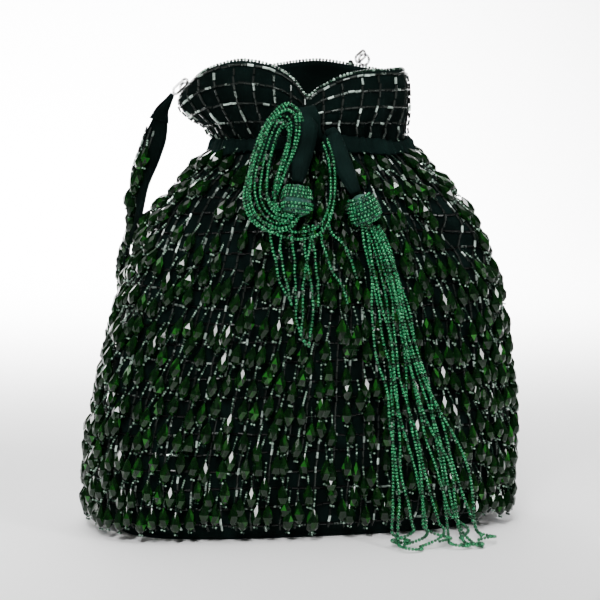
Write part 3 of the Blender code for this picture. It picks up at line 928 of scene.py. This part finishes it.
class POTLI_OT_drawstring(bpy.types.Operator):
    """Make the two ends of the drawstring with their caps, and the string round the neck"""

    bl_idname = "potli.drawstring"
    bl_label = "Drawstring"

    def execute(self, context):
        velvet = velvet_finish("drawstring_velvet", 1.6)
        for number, (route, shape) in enumerate(zip(STRING_END_ROUTES, STRING_END_SHAPES), 1):
            line = along(route, 30)
            rows = np.column_stack([line, smooth(shape, np.linspace(0, 1, len(line)))])
            end = tube(f"drawstring_velvet_end_{number}", rows, towards_front, 28,
                       gathered(9, 0.07))
            finish_piece(end, velvet, "bag", [f"drawstring_end_{number}"])
            make_cap(number)
        self.make_neck(velvet)
        return {"FINISHED"}

    def make_neck(self, velvet):
        """A velvet tube drawn round the neck, with gathers across it."""
        around, sides = 320, 14
        angle = np.linspace(0, 360, around, endpoint=False)
        turn = np.arange(sides) * 2 * math.pi / sides
        at = np.radians(angle)
        crease = 0.28 * np.sin(at * 61 + 2 * np.sin(at * 5))
        crease = crease + 0.22 * np.sin(at * 97)
        swell = 1 + 0.16 * np.sin(at * 4 + 1) + 0.08 * np.sin(at * 11)
        rings = []
        for a, pleat, size in zip(angle, crease, swell):
            out = STRING_OUT + STRING_HALF_THICKNESS * size * np.cos(turn)
            out = out + pleat * np.cos(turn).clip(0, 1)
            height = STRING_HEIGHT + STRING_HALF_HEIGHT * size * np.sin(turn) + pleat
            height = height + 1.1 * math.sin(math.radians(a * 3 + 40))
            level = np.array([math.cos(math.radians(a)), math.sin(math.radians(a)), 0])
            ring = body(a, np.minimum(height, FOOT_FROM), out)
            ring = ring - 0.4 * folds(a, height)[:, None] * MM * level
            ring[:, 2] = height * MM
            rings.append(ring)
        points = np.concatenate(rings)
        neck = mesh_piece("drawstring_velvet_neck", points, grid_faces(around, sides, True))
        finish_piece(neck, velvet, "bag", ["drawstring_neck"])


def declare_strand(name, line, replaces, seed):
    """One strand of seed beads along a line."""
    size = sizes()
    gone = lengths_along(line)[-1]
    skip = size.seed_pitch * np.random.default_rng(seed).uniform()
    line = walk(line, np.linspace(skip, gone, len(line)))
    beads = copies(name, ROUND_BEAD, strung(
        line, size.seed_pitch, size.seed_bead / 2, size.seed_pitch * 0.86, seed))
    finish_piece(beads, tassel_finish(), "bag", [replaces])
    return beads


def wandering(line, seed, reach):
    """The line again, with a strand's own small unevenness."""
    chance = np.random.default_rng(seed)
    share = np.linspace(0, 1, len(line))
    fade = np.sin(np.pi * np.clip(share * 1.1, 0, 1)) ** 0.5
    for axis in (0, 1):
        for waves in (2.5, 6.0, 11.0):
            phase, size = chance.uniform(0, 6.3), chance.uniform(0.4, 1.0) * reach / waves
            line[:, axis] += fade * size * np.sin(waves * math.pi * share + phase)
    return line


class POTLI_OT_tassels(bpy.types.Operator):
    """String the strands of both tassels"""

    bl_idname = "potli.tassels"
    bl_label = "Tassels"

    def execute(self, context):
        self.make_loops()
        self.make_short_strands()
        self.make_bundle()
        return {"FINISHED"}

    def make_loops(self):
        """Strands thrown up over the first cap; most come back to it, two go on round."""
        outer, inner = along(HAIRPIN_OUTER, 110), along(HAIRPIN_INNER, 110)
        for number, share in enumerate(HAIRPIN_WAYS_IN, 1):
            line = (outer * (1 - share) + inner * share) * MM
            line[:, 1] -= 0.0012 * (number % 3)
            self.declare_loop(number, line, 0.0026)
        whole = along(LOOP_ROUND, 80)
        middle = np.array([-17.0, -54.0, 175.0])
        for number, share in enumerate(LOOP_WAYS_IN, 7):
            line = (whole * (1 - share) + middle * share) * MM
            line[:, 1] = (whole[:, 1] - 1.4 * (number % 2)) * MM
            self.declare_loop(number, line, 0.0016)

    def declare_loop(self, number, line, reach):
        declare_strand(f"tassel_loop_{number:02d}", wandering(line, number, reach),
                       "tassel_loops_1", number)

    def make_short_strands(self):
        for number, route in enumerate(SHORT_STRANDS, 1):
            line = wandering(along(route, 40) * MM, 30 + number, 0.0016)
            declare_strand(f"tassel_short_{number:02d}", line, "tassel_ends_1", 30 + number)

    def make_bundle(self):
        """The long tassel, whose strands part at the floor and lie forward on it."""
        chance = np.random.default_rng(5)
        for number, across in enumerate(BUNDLE_ACROSS, 1):
            rows = along(TASSEL_BUNDLE, 110)
            share = np.linspace(0, 1, len(rows))
            drift = across + 0.13 * np.sin(2.6 * math.pi * share + number * 1.9) * share
            drift = drift + 0.3 * chance.uniform(-1, 1) * np.clip(share - 0.55, 0, 1) / 0.45
            depth = (number % 2 - 0.4) * rows[:, 4]
            line = np.column_stack([
                rows[:, 0] + drift * rows[:, 3], rows[:, 1] - depth, rows[:, 2]]) * MM
            line = line[: int(len(line) * chance.uniform(0.86, 0.97))]
            line = wandering(line, 60 + number, 0.0046)
            self.declare_long(number, self.curled(line, chance))
        for number, route in enumerate(STRAY_STRANDS, len(BUNDLE_ACROSS) + 1):
            self.declare_long(number, wandering(along(route, 90) * MM, 60 + number, 0.003))

    def declare_long(self, number, line):
        """A strand of the long tassel, kept above the floor."""
        line[:, 2] = np.maximum(line[:, 2], sizes().seed_bead / 2)
        declare_strand(f"tassel_strand_{number:02d}", line, "tassel_strands_2", 60 + number)

    def curled(self, line, chance):
        """The line again, with a last stretch that curls back on the floor."""
        way = unit((line[-1] - line[-4]) * [1, 1, 0])
        radius = chance.uniform(0.004, 0.0068)
        hand = 1.0 if chance.uniform() < 0.6 else -1.0
        side = np.array([-way[1], way[0], 0]) * hand
        turn = np.linspace(0, chance.uniform(3.2, 5.2), 30)[1:, None]
        curl = line[-1] + radius * (np.sin(turn) * way + (1 - np.cos(turn)) * side)
        curl[:, 2] = np.linspace(line[-1, 2], sizes().seed_bead / 2, len(curl))
        return np.vstack([line, curl])


class POTLI_OT_pouch(bpy.types.Operator):
    """Make the velvet pouch with its gathers, its ruffle and its base"""

    bl_idname = "potli.pouch"
    bl_label = "Velvet pouch"

    around = 264

    def execute(self, context):
        angle = np.linspace(0, 360, self.around, endpoint=False)
        heights = np.concatenate([[0.3, 2.0, 5.0], np.linspace(9, NECK_HEIGHT, 50)])
        rings = [body(angle, height) for height in heights]
        rings += [ruffle(angle, share) for share in np.linspace(0, 1, 14)[1:]]
        faces = grid_faces(len(rings), self.around)
        pouch = mesh_piece("velvet_cloth", np.concatenate(rings), faces)
        thick = pouch.modifiers.new("cloth", "SOLIDIFY")
        thick.thickness = sizes().velvet
        thick.offset = -1
        finish_piece(pouch, velvet_finish(), "bag", ["velvet_pouch"])
        self.make_base(angle)
        return {"FINISHED"}

    def make_base(self, angle):
        """A padded velvet base with a corded seam round it."""
        width, depth, shift = smooth(BODY_SECTIONS, BODY_SECTIONS[0][0])
        profile = [(40.0, 0.35), (8.0, 0.2), (4.0, 0.0), (2.8, 0.35), (2.4, 1.0), (3.0, 1.9)]
        rings = [oval(angle, width - e, depth - e, shift, h) for e, h in profile]
        base = mesh_piece(
            "velvet_base", np.concatenate(rings), capped_faces(len(rings), len(angle)))
        finish_piece(base, velvet_finish(), "bag", ["base_panel"])


class POTLI_OT_inside(bpy.types.Operator):
    """Make the satin lining and finish the card in the base"""

    bl_idname = "potli.inside"
    bl_label = "Lining and base card"

    around = 180

    def execute(self, context):
        angle = np.linspace(0, 360, self.around, endpoint=False)
        heights = np.concatenate([[6.2], np.linspace(9, 182, 36)])
        rings = []
        for height in heights:
            crease = 0.35 * np.sin(17 * np.radians(angle) + height / 19)
            rings.append(body(angle, height, -4.0 + crease))
        floor = [body(angle, 6.2, -4.0) * [share, share, 1] for share in (0.25, 0.6, 0.9)]
        rings = floor + rings
        lining = mesh_piece("satin_lining", np.concatenate(rings),
                            grid_faces(len(rings), self.around) + [tuple(range(self.around))])
        thick = lining.modifiers.new("cloth", "SOLIDIFY")
        thick.thickness = 0.0005
        thick.offset = 0
        finish_piece(lining, satin_finish(), "bag", ["lining"])
        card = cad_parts["base_board"]
        card.data.materials.clear()
        card.data.materials.append(card_finish())
        return {"FINISHED"}


def bugles_on(line, seed):
    """Frames of bugle beads sewn end to end along a line."""
    size = sizes()
    return strung(line, size.bugle_length + 0.0004, size.bugle_width / 2, size.bugle_length,
                  seed, 0.1)


class POTLI_OT_bugles(bpy.types.Operator):
    """Sew the grid of bugle beads on the pouch and on the ruffle, and the beads on its rim"""

    bl_idname = "potli.bugles"
    bl_label = "Bugle grid"

    def execute(self, context):
        lift = sizes().bugle_width / MM / 2 + 0.1
        for name, lines, finish, seed in (
                ("columns", self.columns(lift), bugle_finish(), 0),
                ("rows", self.rows(lift), shaded_bugle_finish(), 0),
                ("ruffle", self.ruffle_lines(lift), bugle_finish(), 500)):
            frames = [bugles_on(line, seed + i) for i, line in enumerate(lines)]
            grid = copies(f"bugle_{name}", BUGLE, self.loosened(frames), flat=True)
            finish_piece(grid, finish, "bag")
        self.make_rim_beads()
        return {"FINISHED"}

    def loosened(self, frames):
        """Each bugle a little off its line, as hand sewing leaves it."""
        frames = np.concatenate(frames)
        chance = np.random.default_rng(9)
        frames[:, 3] += chance.normal(0, 0.00013, (len(frames), 3))
        frames[:, 2] += np.linalg.norm(frames[:, 2], axis=1, keepdims=True) * chance.normal(
            0, 0.05, (len(frames), 3))
        return frames

    def columns(self, lift):
        heights = np.linspace(5, 183, 90)
        return [body(angle, heights, lift) for angle in body_columns(GRID_COLUMNS, 0.5)]

    def rows(self, lift):
        angle = np.linspace(0, 360, 500)
        return [body(angle, height + 0.8 * np.sin(np.radians(angle) * 6 + height), lift - 0.25)
                for height in GRID_ROWS]

    def ruffle_lines(self, lift):
        shares, foot = np.linspace(0.02, 0.9, 30), np.linspace(190.5, 195.5, 4)
        rim = ruffle(ALL_ROUND, 0.8)
        lines = [np.vstack([body(angle, foot, lift), ruffle(angle, shares, lift)])
                 for angle in even_angles(rim, RUFFLE_COLUMNS, 0.3)]
        lines += [ruffle(np.linspace(0, 360, 400), share, lift - 0.2) for share in RUFFLE_ROWS]
        lines.append(ruffle(np.linspace(0, 360, 400), 0.94, lift))
        return lines

    def make_rim_beads(self):
        size = sizes()
        rim = ruffle(np.linspace(0, 360, 400), 1.0, -0.5) + [0, 0, 0.0005]
        beads = copies("rim_beads", ROUND_BEAD, strung(
            rim, size.seed_pitch * 1.1, size.seed_bead * 0.46, size.seed_pitch * 0.85, 77, 0.12))
        finish_piece(beads, fringe_bead_finish(), "bag")


def drops_on(lines, seed, string_beads=BEADS_ON_DROP, more_or_less=2):
    """Frames of the small beads and of the crystals of hanging drops, one drop for each line."""
    size = sizes()
    chance = np.random.default_rng(seed)
    bead_step = size.fringe_bead * 0.9
    small, big = [], []
    for line in lines:
        count = string_beads
        if more_or_less:
            count += chance.integers(-more_or_less, more_or_less + 1)
        crystal_at = count * bead_step + 0.0002
        length = size.drop_length * chance.uniform(0.93, 1.05)
        at = (np.arange(count) + 0.5) * bead_step
        spots = walk(line, np.concatenate([at, [crystal_at, crystal_at + length]]))
        ahead = unit(spots[-1] - spots[-2])
        way = unit(np.gradient(spots[:count], axis=0))
        small.append(bead_frames(spots[:count], way, size.fringe_bead / 2, bead_step * 0.9,
                                 chance.uniform(0, 3)))
        width = size.drop_width / 2 * chance.uniform(0.92, 1.06)
        big.append(bead_frames(spots[-2:-1], -ahead[None], width, length, chance.uniform(0, 6.3)))
        foot = spots[-1] + ahead * 0.0006
        turn = chance.uniform(0, 6.3) + np.arange(3) * 2.1
        trefoil = foot + TREFOIL_REACH * np.column_stack([
            np.cos(turn), np.sin(turn), -0.35 - 0.3 * np.cos(turn)])
        small.append(bead_frames(trefoil, unit(chance.normal(0, 1, (3, 3))), size.fringe_bead / 2,
                                 bead_step * 0.9))
    return np.concatenate(small), np.concatenate(big)


class POTLI_OT_fringe(bpy.types.Operator):
    """Hang the tiers of crystal drops on the pouch"""

    bl_idname = "potli.fringe"
    bl_label = "Crystal fringe"

    def execute(self, context):
        for tier in range(TIER_COUNT):
            tops = [TIER_TOP_HEIGHT - tier * TIER_PITCH]
            if tier == 0:
                tops += COLLAR_HEIGHTS
            lines = [line for top in tops for line in self.lines(top, tier)]
            small, big = drops_on(lines, 200 + tier)
            node = f"fringe_tier_{tier + 1:02d}"
            beads = copies(f"{node}_beads", SMALL_BEAD, small)
            finish_piece(beads, fringe_bead_finish(), "bag", [node])
            drops = copies(f"{node}_drops", DROP, big, flat=True)
            finish_piece(drops, crystal_finish(), "bag", [node])
        return {"FINISHED"}

    def lines(self, top, tier):
        """The line each drop of a tier hangs along: down the cloth, then free of it."""
        chance = np.random.default_rng(300 + int(top))
        columns = next(count for height, count in FRINGE_COLUMNS if top < height)
        lines = []
        for angle in body_columns(columns, 0.5 * (tier % 2) + 0.25):
            angle = angle + chance.uniform(-0.9, 0.9)
            start = max(top + chance.uniform(-4.4, 4.4), LOWEST_TOP)
            stay = chance.uniform()
            if top > 190 and COLLAR_GAP[0] < angle % 360 < COLLAR_GAP[1]:
                continue
            if any(((angle - a) / ra) ** 2 + ((start - 9 - h) / rh) ** 2 < 1 and stay > keep
                   for a, h, ra, rh, keep in BARE_PATCHES):
                continue
            heights = np.linspace(start, start - 24, 30)
            hang = np.clip((start - heights) / 7, 0, 1)
            out = DROP_OUT + (DROP_HANGS_OUT + chance.uniform(-0.4, 0.9)) * hang
            line = body(angle, np.maximum(heights, 24 + 0.3 * heights), out)
            line[:, 2] = heights * MM
            sway = chance.uniform(-1.4, 1.4) * MM * hang
            tangent = np.array([-math.sin(math.radians(angle)), math.cos(math.radians(angle)), 0])
            lines.append(line + sway[:, None] * tangent)
        return lines


def strap_route():
    """Middle of the strap, from the left link round the back of the pouch to the right one."""
    behind = [tuple(plain_body(a, h, STRAP_CLEAR) / MM) for a, h in STRAP_ROUND_BODY]
    return along(STRAP_LEFT + behind + STRAP_RIGHT, 120)


def strap_facing(points):
    """The strap's face looks outwards, and turns to the front at its left end."""
    left = np.clip((points[:, 2:3] - 0.150) / 0.03, 0, 1) * (points[:, :1] < 0)
    return unit(outwards(points) * (1 - left) + np.array([-0.55, -0.83, 0.0]) * left)


class POTLI_OT_handle(bpy.types.Operator):
    """Make the strap with its beading and gathered ends, and finish the rings and links"""

    bl_idname = "potli.handle"
    bl_label = "Strap, links and rings"

    half_width = 6.4

    def execute(self, context):
        route = strap_route()
        share = np.linspace(0, 1, len(route))
        ends = np.clip(np.minimum(share, 1 - share) * 26, 0, 1) ** 0.6
        rows = np.column_stack([route, 2.4 + (self.half_width - 2.4) * ends, 1.0 + 0.7 * ends])
        strap = tube("strap_velvet", rows, strap_facing, 20)
        velvet = velvet_finish("strap_velvet", 0.8)
        finish_piece(strap, velvet, "handle", ["handle_strap"])
        self.make_beading(route)
        self.make_tabs(route)
        metal = nickel_finish()
        for node in ("rim_ring_left", "rim_ring_right", "handle_link_left", "handle_link_right"):
            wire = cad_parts[node]
            wire.data.materials.clear()
            wire.data.materials.append(metal)
            plating = wire.modifiers.new("plating", "DISPLACE")
            plating.strength = sizes().plating
            plating.mid_level = 0
        self.make_ring_tabs()
        return {"FINISHED"}

    def make_beading(self, route):
        """Lines of bugles down the strap's face and crystals hanging along its outer side."""
        centres = route[3:-3] * MM
        ahead, normal = ahead_of(centres), strap_facing(centres)
        normal = unit(normal - (normal * ahead).sum(1, keepdims=True) * ahead)
        side = np.cross(ahead, normal)
        frames = []
        for number, across in enumerate(STRAP_BUGLES_ACROSS):
            line = centres + side * across * MM + normal * STRAP_BUGLES_OUT * MM
            frames.append(bugles_on(line, 800 + number))
        bugles = copies("strap_bugles", BUGLE, np.concatenate(frames), flat=True)
        finish_piece(bugles, bugle_finish(), "handle", ["handle_beading"])
        chance = np.random.default_rng(21)
        gone = lengths_along(centres)
        lines = []
        for at in np.arange(0.004, gone[-1] - 0.012, STRAP_DROP_PITCH):
            i = int(np.searchsorted(gone, at))
            across = STRAP_DROPS_ACROSS[len(lines) % 2]
            start = centres[i] + side[i] * across * MM + normal[i] * STRAP_DROPS_OUT * MM
            lean = unit(np.array([0, 0, -1.0]) + side[i] * chance.uniform(0.0, 0.12)
                        + normal[i] * 0.12)
            lines.append(start + lean * np.linspace(0, 0.02, 8)[:, None])
        small, big = drops_on(lines, 22, string_beads=3, more_or_less=0)
        beads = copies("strap_beads", SMALL_BEAD, small)
        finish_piece(beads, fringe_bead_finish(), "handle", ["handle_beading"])
        drops = copies("strap_drops", DROP, big, flat=True)
        finish_piece(drops, crystal_finish(), "handle", ["handle_beading"])

    def make_tabs(self, route):
        """Gathered ends of the strap, drawn in to the links."""
        for side, first, second in (("left", 0, 6), ("right", -1, -7)):
            low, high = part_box(f"handle_tab_{side}")
            lo, hi = np.array(low) / MM, np.array(high) / MM
            strap_end, before = route[first], route[second]
            tip = np.where(strap_end > (lo + hi) / 2, lo + 1.0, hi - 1.0)
            start = strap_end + (before - strap_end) * 0.25
            rows = along([(*tip, 1.2, 1.1), (*(tip * 0.6 + strap_end * 0.4), 2.0, 1.6),
                          (*strap_end, 3.6, 2.1), (*start, 5.2, 2.0)], 26)
            tab = tube(f"strap_end_{side}", rows, strap_facing, 36, gathered(11, 0.09))
            finish_piece(tab, velvet_finish("strap_velvet", 0.8), "handle",
                         [f"handle_tab_{side}"])

    def make_ring_tabs(self):
        """Folded velvet tabs that hold the rings inside the ruffle."""
        for side, angle in zip(("left", "right"), RING_ANGLES):
            rows = [(*(ruffle(angle, share, out, plain=True) / MM), wide, thick)
                    for share, out, wide, thick in RING_TAB]
            tab = tube(f"velvet_ring_tab_{side}", along(rows, 12), outwards, 16)
            finish_piece(tab, velvet_finish(), "bag", [f"ring_tab_{side}"])


class POTLI_OT_stage(bpy.types.Operator):
    """Lay the floor with its curved backdrop and hang the studio lights"""

    bl_idname = "potli.stage"
    bl_label = "Stage"

    half_width = 2.6
    # Area lights: place, the point they face, edge length, power and spread in degrees.
    lights = [
        ((-0.45, -1.1, 1.02), (0, 0, 0.1), 0.34, 22.0, 180),
        ((0.75, -1.0, 1.1), (0, 0, 0.1), 0.28, 11.0, 180),
        ((0.0, 0.2, 2.2), (0, 0, 0.1), 2.0, 48.0, 180),
        ((0.0, 1.2, 1.6), (0, 2.0, 0.3), 1.6, 200.0, 100),
    ]
    # Brightness of the world at two heights of view: a pale band at the horizon, dim above it.
    horizon = [(0.03, (0.8, 0.8, 0.8)), (0.12, (0.09, 0.09, 0.09))]

    def execute(self, context):
        profile = [(-2.4, 0.0), (1.6, 0.0)]
        profile += [(1.6 + 0.5 * math.sin(a), 0.5 - 0.5 * math.cos(a))
                    for a in np.linspace(0.1, math.pi / 2, 12)]
        profile.append((2.1, 2.6))
        points = [(x, y, z) for y, z in profile for x in (-self.half_width, self.half_width)]
        faces = [(2 * i, 2 * i + 1, 2 * i + 3, 2 * i + 2) for i in range(len(profile) - 1)]
        floor = mesh_piece("floor_and_backdrop", points, faces)
        floor.data.materials.append(floor_finish())
        for number, (place, aim, size, power, spread) in enumerate(self.lights, 1):
            data = bpy.data.lights.new(f"softbox_{number}", "AREA")
            data.size = size
            data.energy = power
            data.spread = math.radians(spread)
            light = bpy.data.objects.new(f"softbox_{number}", data)
            context.scene.collection.objects.link(light)
            light.location = place
            way = Vector(aim) - light.location
            light.rotation_euler = way.to_track_quat("-Z", "Y").to_euler()
        world = Finish("studio", world=True)
        place = world.node("ShaderNodeTexCoord", output="Generated")
        up = world.node("ShaderNodeSeparateXYZ", None, {0: place}, output="Z")
        context.scene.world = world.shade(Color=world.ramp(up, self.horizon))
        return {"FINISHED"}


class POTLI_PT_panel(bpy.types.Panel):
    """The steps of the potli, in the order they are run"""

    bl_label = "Beaded Potli"
    bl_idname = "POTLI_PT_panel"
    bl_space_type = "VIEW_3D"
    bl_region_type = "UI"
    bl_category = "Potli"

    def draw(self, context):
        for step in STEPS:
            self.layout.operator(step.bl_idname)
        for group in (context.scene.potli_sizes, context.scene.potli_colours):
            for key in group.__annotations__:
                self.layout.prop(group, key)


STEPS = (
    POTLI_OT_camera, POTLI_OT_drawstring, POTLI_OT_tassels, POTLI_OT_pouch, POTLI_OT_inside,
    POTLI_OT_bugles, POTLI_OT_fringe, POTLI_OT_handle, POTLI_OT_stage,
)
CLASSES = (PotliSizes, PotliColours, *STEPS, POTLI_PT_panel)


def register():
    for each in CLASSES:
        bpy.utils.register_class(each)
    bpy.types.Scene.potli_sizes = bpy.props.PointerProperty(type=PotliSizes)
    bpy.types.Scene.potli_colours = bpy.props.PointerProperty(type=PotliColours)


def unregister():
    del bpy.types.Scene.potli_colours
    del bpy.types.Scene.potli_sizes
    for each in reversed(CLASSES):
        bpy.utils.unregister_class(each)


def main():
    register()
    bpy.ops.potli.camera()
    bpy.ops.potli.drawstring()
    bpy.ops.potli.tassels()
    bpy.ops.potli.pouch()
    bpy.ops.potli.inside()
    bpy.ops.potli.bugles()
    bpy.ops.potli.fringe()
    bpy.ops.potli.handle()
    bpy.ops.potli.stage()


if __name__ == "__main__":
    main()
